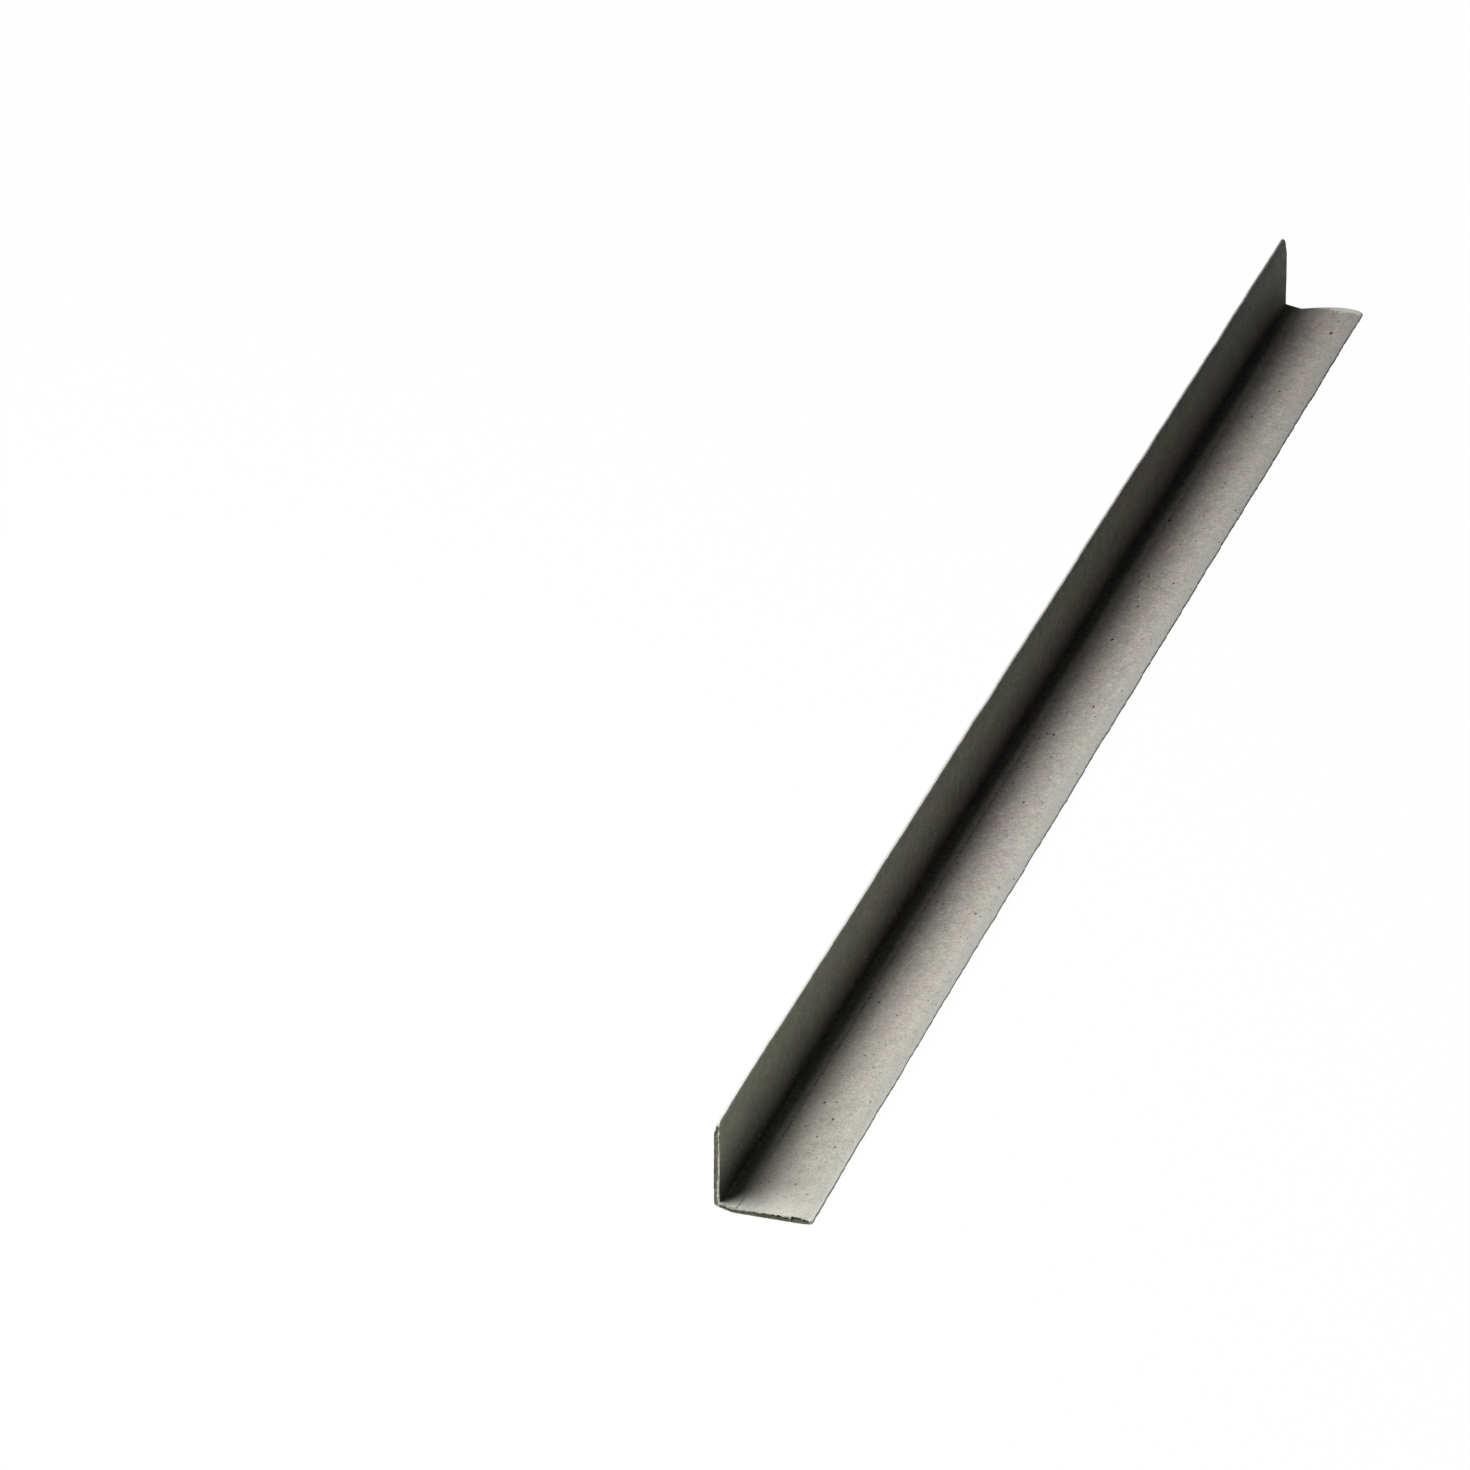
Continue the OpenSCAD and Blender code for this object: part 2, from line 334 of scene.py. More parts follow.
def speckles(nodes, colour, bent, speckled):
    """Pale flecks, small dark dots and the specks of SPOTS."""
    pale = nodes.maths("MULTIPLY", nodes.specks(bent, *PALE_FLECKS), speckled)
    colour = nodes.stain(colour, pale, PALE_STRENGTH, FLECK)
    drawn = nodes.vector("MULTIPLY", bent, DRAWN)
    dots = nodes.maths("MULTIPLY", nodes.specks(drawn, *FINE_DOTS), FINE_SHARE)
    dots = nodes.maths("MAXIMUM", dots, nodes.specks(drawn, *LARGE_DOTS))
    colour = nodes.stain(colour, nodes.maths("MULTIPLY", dots, speckled), DOT_STRENGTH, SPECK)
    for d, x, radius in SPOTS:
        place = tuple((leg_point(d, x) - ORIGIN + WANDER_MEAN) * DRAWN)
        gap = nodes.vector("DISTANCE", drawn, place, 1)
        core, rim = (share * radius for share in SPOT_FADE)
        colour = nodes.stain(colour, nodes.ramp(gap, core, rim, 1.0, 0.0), SPOT_STRENGTH, SPECK)
    return colour


def torn(nodes, where, name, noise, reach, span):
    """A painted value as a share from 0 to 1, with a torn outline."""
    shift = nodes.ramp(nodes.noise(where, *noise), *TEAR_SPAN, -reach, reach, "LINEAR")
    return nodes.ramp(nodes.maths("ADD", nodes.attribute(name), shift), *span)


def edge_wear_and_painted_light(nodes, colour, where):
    """Painted shade on the crease, and the far cut's pale lip and the edges' pale rims, of wear and
    painted light.
    """
    # The crease is darkened with painted shade
    broken = nodes.ramp(nodes.noise(where, *BREAKS), *BREAK_SPAN, *BREAK_RANGE)
    crease = nodes.maths("MULTIPLY", nodes.attribute("crease"), broken)
    colour = nodes.stain(colour, crease, CREASE_DARK, SPECK)
    # The far cut's pale lip, partly wear and partly painted light
    colour = nodes.stain(colour, torn(nodes, where, "lip", *LIP_TEAR), LIP_STRENGTH, LIP)
    # The rims: painted light on the tip's shaded round, and on the top edge wear and a painted
    # highlight
    rim = nodes.maths("MULTIPLY", torn(nodes, where, "rim", *RIM_TEAR), nodes.attribute("worn"))
    return nodes.stain(colour, rim, 1.0, RIM)


def board_material():
    """Faces of the board: grey-beige pulp, dark specks, pale flecks, painted shade, and pale edges
    of wear and painted light.
    """
    material, nodes = new_material("recycled_board")
    where = nodes.place_mm()
    bent = nodes.vector("ADD", where, nodes.noise(where, *WANDER, out=1))
    speckled = nodes.attribute("speckled")
    away = nodes.ramp(nodes.along(where), *(d - LENGTH / 2 for d in NEAR_ZONE))
    on_leg = nodes.ramp(speckled, UPRIGHT_SPECKLED, 1.0)
    calm = nodes.maths("MULTIPLY", on_leg, nodes.ramp(away, 0.0, 1.0, NEAR_CALM, 0.0))
    tinted = nodes.ramp(calm, 0.0, 1.0, 1.0, 0.0, "LINEAR")
    colour = pulp(nodes, nodes.mix(away, FACE_NEAR, FACE), where, tinted, away)
    # Paler tip, strip and near cut: partly wear and partly painted light
    colour = nodes.stain(colour, nodes.attribute("pale_wear_and_light"), 1.0, PALE_WEAR_AND_LIGHT)
    # Painted shade on the flat leg past the fold and on the arch's near side
    colour = nodes.stain(colour, nodes.attribute("painted_leg_shade"), 1.0, LEG_SHADE_PAINT)
    colour = fibres(nodes, colour, where, bent)
    colour = speckles(nodes, colour, bent, speckled)
    # Painted shade towards the corner of the angle
    colour = nodes.stain(colour, nodes.attribute("shade"), 1.0, CORNER_SHADE_PAINT)
    colour = edge_wear_and_painted_light(nodes, colour, where)

    fine = nodes.noise(where, *FINE_BUMP)
    lumps = nodes.maths("MULTIPLY", nodes.noise(where, *LUMP_BUMP), LUMP_H)
    height = nodes.maths("ADD", nodes.maths("MULTIPLY", fine, FINE_H), lumps)
    nodes.surface(colour, nodes.ramp(fine, *GREY_SPAN, *FACE_ROUGH, "LINEAR"), height)
    return material


def cut_material():
    """Sawn plies: olive-grey board with darker glue lines and one torn, pale ply."""
    material, nodes = new_material("sawn_plies")
    where = nodes.place_mm()
    fuzz = nodes.noise(where, *FUZZ)
    patch = nodes.ramp(nodes.noise(where, *PATCHES), *PATCH_SPAN, 0.0, PATCH_DARK)
    line = nodes.maths("MULTIPLY", nodes.attribute("ply_line"), nodes.ramp(fuzz, *FUZZ_SPAN))
    dark = nodes.maths("MAXIMUM", nodes.maths("MULTIPLY", line, LINE_DARK), patch)
    colour = nodes.mix(dark, CUT_DARK, CUT_LINE)
    edge = nodes.ramp(fuzz, 0.0, 1.0, *PALE_SHIFT, "LINEAR")
    pale = nodes.ramp(nodes.maths("ADD", nodes.attribute("ply_pale"), edge), *PALE_SPAN)
    colour = pulp(nodes, nodes.mix(pale, colour, CUT_PALE), where)
    nodes.surface(colour, CUT_ROUGH, nodes.maths("MULTIPLY", fuzz, FUZZ_H))
    return material


# Shape helpers

# How much a wave's length may differ from its place in the row
LENGTH_SPREAD = (0.85, 1.15)


def smooth(t):
    t = np.clip(t, 0, 1)
    return t * t * (3 - 2 * t)


def step(value, start, width):
    """Smooth step from 0 at start to 1 a width further. Where the width is negative, it falls."""
    return smooth((value - start) / width)


def bell(value, middle, width):
    """1 at the middle, and next to nothing two widths away."""
    return np.exp(-(((value - middle) / width) ** 2))


def between(pair, share):
    return pair[0] + (pair[1] - pair[0]) * share


def wave_line(short, long, size, count=9):
    """A smooth random line of about the given size, with waves from short to long."""
    lengths = np.geomspace(short, long, count) * rng.uniform(*LENGTH_SPREAD, count)
    phases = rng.uniform(0, 2 * math.pi, count)

    def line(t):
        t = np.asarray(t, float)[..., None]
        return size * math.sqrt(2 / count) * np.sin(2 * math.pi * t / lengths + phases).sum(-1)

    return line


def wave_field(short, long, size, count=14):
    """The same over a surface, with waves that run every way."""
    turns = rng.uniform(0, math.pi, count)
    lines = [wave_line(s, s, size / math.sqrt(count), 1) for s in np.geomspace(short, long, count)]

    def field(a, b):
        return sum(f(a * math.cos(t) + b * math.sin(t)) for f, t in zip(lines, turns))

    return field


def spread(knots, times):
    """Divides each step between two knots into equal parts, and tells where the knots went."""
    shares = [np.arange(n) / n for n in times]
    parts = [a + (b - a) * s for a, b, s in zip(knots[:-1], knots[1:], shares)]
    return np.append(np.concatenate(parts), knots[-1]), np.append(0, np.cumsum(times))


# Waves of the top edge, of the tip and of the faces: shortest, longest and size
TOP_WAVES, TIP_WAVES, FACE_WAVES = (7.0, 160.0, 0.14), (7.0, 200.0, 0.13), (30.0, 320.0, 0.11)

# Height at which the faces' waves are full, since they would lift the board's foot
FULL_WAVES_Z = 12.0

top_wobble = wave_line(*TOP_WAVES)
tip_wobble = wave_line(*TIP_WAVES)
board_waves = wave_field(*FACE_WAVES)


# The board's section

# The section runs through six stages, one unit each: down the upright, round the corner, along
# the strip, over the fold, past the crease and out to the tip
CORNER, STRIP, FOLD, PAST_FOLD, LEG, TIP = range(1, 7)

# Knots of the stages. The crease's own lie close round it, and the leg's come closer to the tip
TOP_KNOTS, UPRIGHT_FROM = (0, 0.012, 0.03, 0.055), 0.09
CREASE_BACK, CREASE_PAST = 0.75, 1.25
CREASE_STEPS = np.array([0, 0.35, 0.5, 0.58, 0.64, 0.70, 0.75, 0.80, 0.86, 0.92, 1.0, 1.15, 1.5])
LEG_SHARE, LEG_EVEN = np.linspace(0, 1, 31), 0.35
KNOTS = np.concatenate([
    TOP_KNOTS,
    np.linspace(UPRIGHT_FROM, CORNER, 13, endpoint=False),
    np.linspace(CORNER, STRIP, 10, endpoint=False),
    np.linspace(STRIP, FOLD, 3, endpoint=False),
    np.linspace(FOLD, PAST_FOLD, 8, endpoint=False),
    PAST_FOLD + CREASE_STEPS / (CREASE_BACK + CREASE_PAST),
    LEG + LEG_EVEN * LEG_SHARE + (1 - LEG_EVEN) * np.sin(math.pi / 2 * LEG_SHARE),
])

# Steps of an edge's round, and the gap between points in the fine rings beside a cut
ROUND_STEPS, FINE_GAP = 12, 0.42


def worn(radius, d):
    """How far a corner of the given radius is worn away at distance d from a cut."""
    return radius - math.sqrt(max(0.0, radius**2 - (radius - d) ** 2)) if d < radius else 0.0


def crest(d):
    """Height of the flat leg's arch at distance d from the near cut."""
    if d < PRESS_L:
        return ARCH_H * math.sin(math.pi / 2 * d / PRESS_L)
    past = (d - PRESS_L) / (LENGTH - PRESS_L)
    return ARCH_H * (1 - (1 - ARCH_FAR) * past * past)


def middle_line(d, t):
    """Points of the section's middle line at stages t, and the place of the crease."""
    fold = FOOT_NEAR + (FOOT_FAR - FOOT_NEAR) * d / LENGTH - FOLD_W
    run = fold - OUTER_R
    pitch = math.acos(OUTER_R / math.hypot(CORNER_Z, run)) - math.atan2(run, CORNER_Z)
    fold += HALF * math.tan(pitch / 2)
    foot = fold + FOLD_W
    cut = min(d, LENGTH - d)
    top_r = NEAR_TOP_R if d < LENGTH / 2 else FAR_TOP_R
    tip = TIP_X - worn(TIP_CORNER_R, cut) + float(tip_wobble(d))
    low = TOP_LOW[0] + (TOP_LOW[1] - TOP_LOW[0]) * d / LENGTH
    rise = RUN - worn(top_r, cut) - low + float(top_wobble(d))

    upright = FOOT + rise * (1 - t)[:, None] * UP
    turn = math.pi - LEAN + (math.pi / 2 + LEAN - pitch) * (t - CORNER)
    corner = np.array([OUTER_R, CORNER_Z]) + MID_R * np.c_[np.cos(turn), np.sin(turn)]
    start = OUTER_R - MID_R * math.sin(pitch)
    crease = np.interp(d, *zip(*CREASE_PATH))
    places = (start, fold - FOLD_SOFT, crease - CREASE_BACK, crease + CREASE_PAST, tip)
    x = np.interp(t, (STRIP, FOLD, PAST_FOLD, LEG, TIP), places)
    back = fold - x
    soft = np.maximum(0, back + FOLD_SOFT) ** 2 / (4 * FOLD_SOFT)
    slope = np.where(back < FOLD_SOFT, soft, back)
    share = np.maximum(0, x - foot) / (TIP_X - foot)
    droop = np.maximum(0, x - TIP_X + TIP_STRIP) / TIP_STRIP
    arch = crest(d) * (np.sin(ARCH_TURN * share) - TIP_DROOP / ARCH_H * droop**2)
    leg = np.c_[x, HALF + math.tan(pitch) * slope + arch]
    line = np.where(t[:, None] < CORNER, upright, np.where(t[:, None] < STRIP, corner, leg))
    line[:, 0] += NEAR_LEAN * max(0, 1 - d / NEAR_LEAN_L) * np.maximum(0, 1 - t)
    return line, crease


def leg_point(d, x):
    """Point of the flat leg's inner face, at distance d from the near cut and x from the back."""
    line = middle_line(d, np.linspace(FOLD, TIP, 200))[0]
    return np.array([x, d, np.interp(x, *line.T) + HALF])


def ply_gap(d, x):
    """Lift of the inner ply off the plies below, near the near cut."""
    across = np.abs(x - TIP_X + PLY_LIFT_IN - HALF) / PLY_LIFT_W
    lift = np.where(across < 1, np.cos(math.pi / 2 * across), 0)
    return lift * (PLY_LIFT * max(0, 1 - d / PLY_LIFT_L) ** 2)


# How many parts each step of the section has in the fine rings and in the others
STEP_SIZES = np.linalg.norm(np.diff(middle_line(0.0, KNOTS)[0], axis=0), axis=1)
FINE_TIMES = np.maximum(1, np.rint(STEP_SIZES / FINE_GAP)).astype(int)
COARSE_TIMES = np.ones(len(KNOTS) - 1, int)


# Painted values

# Pairs of shares are for the near and the far cut. Steps are written as where they start and how
# wide they are, across the leg, up the upright or along the board.

# Painted shade of the upright by its corner: its strength, more near the near cut, over what
# length, less at the far cut, and at most
SHADE, SHADE_NEAR, SHADE_NEAR_L, SHADE_FAR, SHADE_MOST = 0.70, 0.20, 90.0, (LENGTH + 5, -50.0), 0.88
SHADE_Z, SHADE_SHARES = (7, 10, 15, 40), ((1.10, 0.95), (1.00, 0.87), (0.84, 0.71), (0, 0))
SHADE_STAGES, SHADE_MIDDLE = (CORNER, CORNER + 0.5, STRIP + 0.4), (0.62, 0.30)

# Painted shade of the leg past the fold: strength, where it shows across, its least and from
# where along
FOLD_SHADE, FOLD_SHADE_X, FOLD_SHADE_LEAST, FOLD_SHADE_FROM = 0.17, ((10, 3), (30, -14)), 0.3, (0, 35)

# Painted shade of the arch's near side: strength, more at the far cut, where it shows across and
# from where along
ARCH_SHADE, ARCH_SHADE_FAR, ARCH_SHADE_X, ARCH_SHADE_FROM = 0.20, 0.14, ((9, 5), (41, -14)), (0, 350)

# What is left of the leg's painted shade at the far cut, and where it falls to that
LEG_SHADE_LEAST, LEG_SHADE_END = 0.2, (LENGTH, -38.0)

# Paleness of the flat leg, partly wear and partly painted light: how pale the tip is (along,
# share), over what width, and how pale the strip is, where and over what half width
TIP_PALE = ((0, 0.5), (80, 0.5), (200, 1.0), (400, 1.05), (600, 1.0), (800, 0.55), (1000, 0.45))
TIP_PALE_W = 10.5
STRIP_PALE, STRIP_X, STRIP_W = (0.45, 0.20), 8.0, 1.6

# Painted light on the leg by the near cut: how pale it is painted by the fold, further out and by
# the tip, over what length and from where across
NEAR_CUT_LIGHT, NEAR_CUT_LIGHT_LESS, NEAR_CUT_LIGHT_LEAST = 0.95, 0.35, 0.30
NEAR_CUT_LIGHT_L, NEAR_CUT_LIGHT_FROM = (30, -30), (5.5, 3)
LESS_FROM, LEAST_FROM = (11, 5), (32, 6)
NEAR_CUT_LIGHT_ON, NEAR_CUT_LIGHT_ON_L, NEAR_CUT_LIGHT_ON_FROM = 0.15, (60, -60), (22, 10)

# The pale lip along the flat leg's far cut, partly wear and partly painted light: from where
# across and how wide, its value at the cut, and where it comes in
LIP_WIDTH = ((15, 1.0), (24, 2.0), (28, 3.4), (33, 6.5), (38, 8.8), (44, 8.8), (48, 6.5))
LIP_VALUE, LIP_FROM = 1.3, (12, 18)

# The rims, painted paler: the tip's, as painted light on its shaded round, the top edge's, partly
# wear and partly a painted highlight, and that one's two borders, then how much of the top edge's
# rim shows at the near and the far cut
TIP_RIM, TOP_RIM, TOP_RIM_BORDER, TOP_RIM_SHOWN = (0.71, 0.33), 1.0, 0.45, (1.0, 0.0)


def corner_shade(d, t, z):
    """Painted shade: how much darker the inner face is painted towards the corner of the angle."""
    shares = [between(pair, d / LENGTH) for pair in SHADE_SHARES]
    upright = np.interp(z, SHADE_Z, shares)
    corner = np.interp(t, SHADE_STAGES, (shares[0], between(SHADE_MIDDLE, d / LENGTH), 0))
    strength = SHADE + SHADE_NEAR * float(step(d, SHADE_NEAR_L, -SHADE_NEAR_L))
    strength *= float(step(d, *SHADE_FAR))
    return np.minimum(SHADE_MOST, strength * np.where(t < CORNER, upright, corner))


def leg_shade_share(d, x):
    """Painted shade of the flat leg's inner face, past the fold and on the arch's near side."""

    def band(rise, fall):
        return step(x, *rise) * step(x, *fall)

    fold = FOLD_SHADE_LEAST + (1 - FOLD_SHADE_LEAST) * float(step(d, *FOLD_SHADE_FROM))
    arch = ARCH_SHADE * float(step(d, *ARCH_SHADE_FROM)) + ARCH_SHADE_FAR * d / LENGTH
    painted_leg_shade = FOLD_SHADE * fold * band(*FOLD_SHADE_X) + arch * band(*ARCH_SHADE_X)
    return painted_leg_shade * (LEG_SHADE_LEAST + (1 - LEG_SHADE_LEAST) * float(step(d, *LEG_SHADE_END)))


def leg_paleness(d, x):
    """How pale the flat leg is along its tip, on the strip and by the near cut: wear and painted
    light.
    """
    tip = np.interp(d, *zip(*TIP_PALE)) * step(x, WIDTH - TIP_PALE_W, TIP_PALE_W)
    strip = between(STRIP_PALE, d / LENGTH) * bell(x, STRIP_X, STRIP_W)
    near_cut_light = NEAR_CUT_LIGHT - NEAR_CUT_LIGHT_LESS * step(x, *LESS_FROM) - NEAR_CUT_LIGHT_LEAST * step(x, *LEAST_FROM)
    near_cut_light *= float(step(d, *NEAR_CUT_LIGHT_L)) * step(x, *NEAR_CUT_LIGHT_FROM)
    near_cut_light += NEAR_CUT_LIGHT_ON * float(step(d, *NEAR_CUT_LIGHT_ON_L)) * step(x, *NEAR_CUT_LIGHT_ON_FROM)
    return np.maximum(tip + strip, near_cut_light)


def far_lip(d, x):
    """The pale lip's value, which falls to 0 over the lip's width."""
    reach = (LENGTH - d) / np.interp(x, *zip(*LIP_WIDTH))
    return np.maximum(0, LIP_VALUE * (1 - reach)) * step(x, *LIP_FROM)


def painted(d, t, line, crease):
    """Painted values of a ring's points, in the order of its outline."""
    n, rounds = len(t), ROUND_STEPS - 1
    far = d / LENGTH
    x, z = line.T
    inside = {
        "shade": corner_shade(d, t, z),
        "painted_leg_shade": leg_shade_share(d, x) * (t > STRIP),
        "speckled": np.where(t < CORNER, UPRIGHT_SPECKLED, 1),
        "lip": far_lip(d, x) * (t > FOLD),
        "crease": crease,
    }
    values = {}
    for name, value in inside.items():
        values[name] = np.concatenate([np.zeros(n + rounds), value[::-1], np.zeros(rounds)])
    # Paleness of the flat leg: partly wear and partly painted light
    pale_wear_and_light = leg_paleness(d, x) * (t > STRIP)
    values["pale_wear_and_light"] = np.concatenate([pale_wear_and_light, np.ones(rounds), pale_wear_and_light[::-1], np.zeros(rounds)])

    # The rims: painted light on the tip's shaded round, and on the top edge partly wear and partly
    # a painted highlight, which shows less towards the far cut
    borders = [0, 2 * n + rounds - 1]
    top_edge = [*range(borders[1], 2 * n + 2 * rounds), 0]
    values["rim"] = np.zeros(2 * n + 2 * rounds)
    values["rim"][n:n + rounds] = between(TIP_RIM, far)
    values["rim"][top_edge] = TOP_RIM
    values["rim"][borders] = TOP_RIM_BORDER
    values["worn"] = np.ones(2 * n + 2 * rounds)
    values["worn"][top_edge] = between(TOP_RIM_SHOWN, far)
    return values


# The board's rings


def round_end(centre, way, out, half, square):
    """Points of an edge's round, from its outer face to its inner, both left out."""
    t = np.linspace(-math.pi / 2, math.pi / 2, ROUND_STEPS + 1)[1:-1, None]
    ahead = np.abs(np.cos(t)) ** (2 / square)
    aside = np.sign(np.sin(t)) * np.abs(np.sin(t)) ** (2 / square)
    return centre + half * (ahead * way - aside * out)


def ring(d, fine):
    """Closed outline at distance d: outer face, tip's round, inner face, top edge's round."""
    t, marks = spread(KNOTS, FINE_TIMES if fine else COARSE_TIMES)
    line, crease_x = middle_line(d, t)
    way = np.gradient(line, axis=0)
    way[t <= CORNER] = -UP
    way /= np.linalg.norm(way, axis=1)[:, None]
    out = np.c_[way[:, 1], -way[:, 0]]
    path = np.append(0, np.cumsum(np.linalg.norm(np.diff(line, axis=0), axis=1)))
    line = line + (board_waves(path, d) * np.clip(line[:, 1] / FULL_WAVES_Z, 0, 1))[:, None] * out

    x = line[:, 0]
    far = d / LENGTH
    crush = between(TIP_CRUSH, far)
    half = HALF * (1 - crush * smooth((x - TIP_X + TIP_CRUSH_W) / TIP_CRUSH_W))
    # The crease's share, for its groove and for its painted shade
    crease = bell(x, crease_x, CREASE_W) * (t > FOLD) * np.interp(d, *zip(*CREASE_SHOWN))
    thick = between(TOP_THICK, far)
    taper = smooth(1 - path / TOP_TAPER)
    bare = TOP_BACK * float(step(d, *TOP_BACK_FROM))
    full = CORNER_FULL * np.sin(math.pi * np.clip(t - CORNER, 0, 1)) ** 2
    outer = line + (half + full - (WALL - thick - bare) * taper)[:, None] * out
    inner = line - (half - bare * taper + ply_gap(d, x) - CREASE_DEEP * crease)[:, None] * out
    tip = round_end(line[-1], way[-1], out[-1], half[-1], TIP_SQUARE)
    top_middle = line[0] + (HALF - thick / 2) * UP - (HALF - thick / 2 - bare) * out[0]
    top = round_end(top_middle, UP, -out[0], thick / 2, between(TOP_SQUARE, far))

    n, rounds = len(line), ROUND_STEPS - 1
    marks = np.concatenate([
        marks,
        n + np.arange(rounds),
        2 * n + rounds - 1 - marks[::-1],
        2 * n + rounds + np.arange(rounds),
    ])
    outline = np.concatenate([outer, tip, inner[::-1], top])
    return outline, painted(d, t, line, crease), marks, path


# The board's mesh

# Smallest angle between two faces that shows as an edge
SHARP_EDGE = math.radians(50)
ATTRIBUTES = (
    "rim", "worn", "lip", "pale_wear_and_light", "shade", "painted_leg_shade", "speckled", "crease", "ply_line", "ply_pale",
)


class Board:
    """Points, faces and painted values of the board, gathered before they become one mesh."""

    def __init__(self):
        self.points, self.faces, self.slots, self.count = [], [], [], 0
        self.values = {name: [] for name in ATTRIBUTES}

    def add(self, points, **values):
        start = self.count
        self.points.append(points)
        self.count += len(points)
        for name in ATTRIBUTES:
            self.values[name].append(np.broadcast_to(values.get(name, 0.0), len(points)))
        return start

    def face(self, loop, slot=0):
        self.faces.append(loop)
        self.slots.append(slot)

    def to_object(self):
        points = (np.concatenate(self.points) - ORIGIN) * MM
        data = bpy.data.meshes.new("edge_board")
        data.from_pydata(points.tolist(), [], self.faces)
        data.materials.append(board_material())
        data.materials.append(cut_material())
        data.polygons.foreach_set("material_index", self.slots)
        data.polygons.foreach_set("use_smooth", [True] * len(self.faces))
        data.set_sharp_from_angle(angle=SHARP_EDGE)
        for name, parts in self.values.items():
            layer = data.attributes.new(name, "FLOAT", "POINT")
            layer.data.foreach_set("value", np.concatenate(parts))
        data.validate()
        board = bpy.data.objects.new("edge_board", data)
        bpy.context.collection.objects.link(board)
        return board


def join_rings(board, low, high):
    """Faces between two rings. Their marks are the points that both have."""
    for k in range(len(low[1])):
        spans = []
        for first, marks, outline, _ in (low, high):
            a, b = marks[k], marks[(k + 1) % len(marks)]
            count = len(outline)
            spans.append([first + i % count for i in range(a, (b if b > a else count) + 1)])
        if len(spans[0]) == len(spans[1]):
            for i in range(len(spans[0]) - 1):
                board.face((spans[0][i], spans[0][i + 1], spans[1][i + 1], spans[1][i]))
        else:
            board.face((*spans[0], *spans[1][::-1]))


# The cuts

# Rows of points across the wall at a cut, and its plies
CUT_ROWS, PLIES = 22, 4

# Waves that the plies share: shortest and longest of the edges, teeth, rags and sunk stretches
PLY_WAVES = ((2.5, 16), (1.1, 4.5), (0.9, 7.0), (3.0, 18.0))

# The glue lines between the plies: how far they wander, how thin they are and how deep
LINE_WANDER, LINE_THIN, LINE_DEEP = 0.35, 4, 0.13

# The near cut's parts, as where each starts and over what width: the upright by its height, and
# the leg, its torn stretch and its tip across
UPRIGHT_PART, LEG_PART, TORN_PART, TIP_PART = (4, 4), (9, 12), (27, 4), (47.2, 1.0)

# Lower edge of the near cut's pale ply, as a share of the wall from its outer face: on the
# upright's foot, how much higher further up, on the leg and on its torn stretch, and how much
# lower at the tip, then its waves there
LOW, LOW_UP, LOW_UP_FROM, LOW_LEG, LOW_TORN, LOW_TIP = 0.50, 0.17, (16, 5), 0.24, 0.02, 0.30
LOW_WAVE, LOW_LEG_WAVE, LOW_TORN_WAVE, LOW_SOFT = 0.05, 0.03, 0.07, 0.10

# Its upper edge: past the wall on the leg, how much lower on the upright's foot, and its waves,
# then what of that is made up further up, and what is lost again by the top
HIGH, HIGH_FOOT, HIGH_WAVE, HIGH_SOFT = 1.1, 0.24, 0.04, 0.08
HIGH_MIDDLE, HIGH_MIDDLE_FROM, HIGH_TOP, HIGH_TOP_FROM = 0.22, (14, 8), 0.20, (26, 8)

# The pocket behind the torn ply: from where across the wall, its waves, softness and depth
POCKET_FROM, POCKET_WAVE, POCKET_SOFT, POCKET_DEEP, POCKET_DEEP_WAVE = 0.45, 0.08, 0.12, 1.3, 0.6

# The loose flake that stands in the pocket: place, slant, half width, from where across the wall,
# how proud and how pale
FLAKE_X, FLAKE_SLANT, FLAKE_W, FLAKE_FROM = 38.4, 0.6, 0.85, (0.46, 0.15)
FLAKE_PROUD, FLAKE_PALE = 0.5, 0.62

# How far the near cut is sunk, how proud its pale ply is, and the waves of both
NEAR_SUNK, NEAR_SUNK_WAVE, NEAR_PROUD, NEAR_PROUD_WAVE = 0.26, 0.08, 0.34, 0.08

# Where the corner's outer plies are crushed, and how pale they and the upright's foot are
CRUSHED_X, CRUSHED_W, CRUSHED_TO, CRUSHED_PALE, FOOT_PALE = 2.3, 1.1, (0.5, 0.2), 0.55, 0.30

# The far cut: lower edge of its pale ply, with waves and softness, how far it is sunk and the ply
# proud, with waves, and the size of its teeth
FAR_LOW, FAR_LOW_WAVE, FAR_SOFT = 0.74, 0.08, 0.07
FAR_SUNK, FAR_SUNK_WAVE, FAR_PROUD, FAR_PROUD_WAVE, FAR_TEETH = 0.20, 0.08, 0.22, 0.12, 0.05


def chords(n):
    """Pairs of ring points that face each other across the wall, from the top edge to the tip."""
    rounds, half = ROUND_STEPS - 1, ROUND_STEPS // 2
    total = 2 * n + 2 * rounds
    top = 2 * n + rounds
    pairs = [(total - j, top + j - 1) for j in range(half - 1, 0, -1)]
    pairs += [(k, top - 1 - k) for k in range(n)]
    pairs += [(n + j - 1, n + rounds - j) for j in range(1, half)]
    return np.array(pairs), top + half - 1, n + half - 1


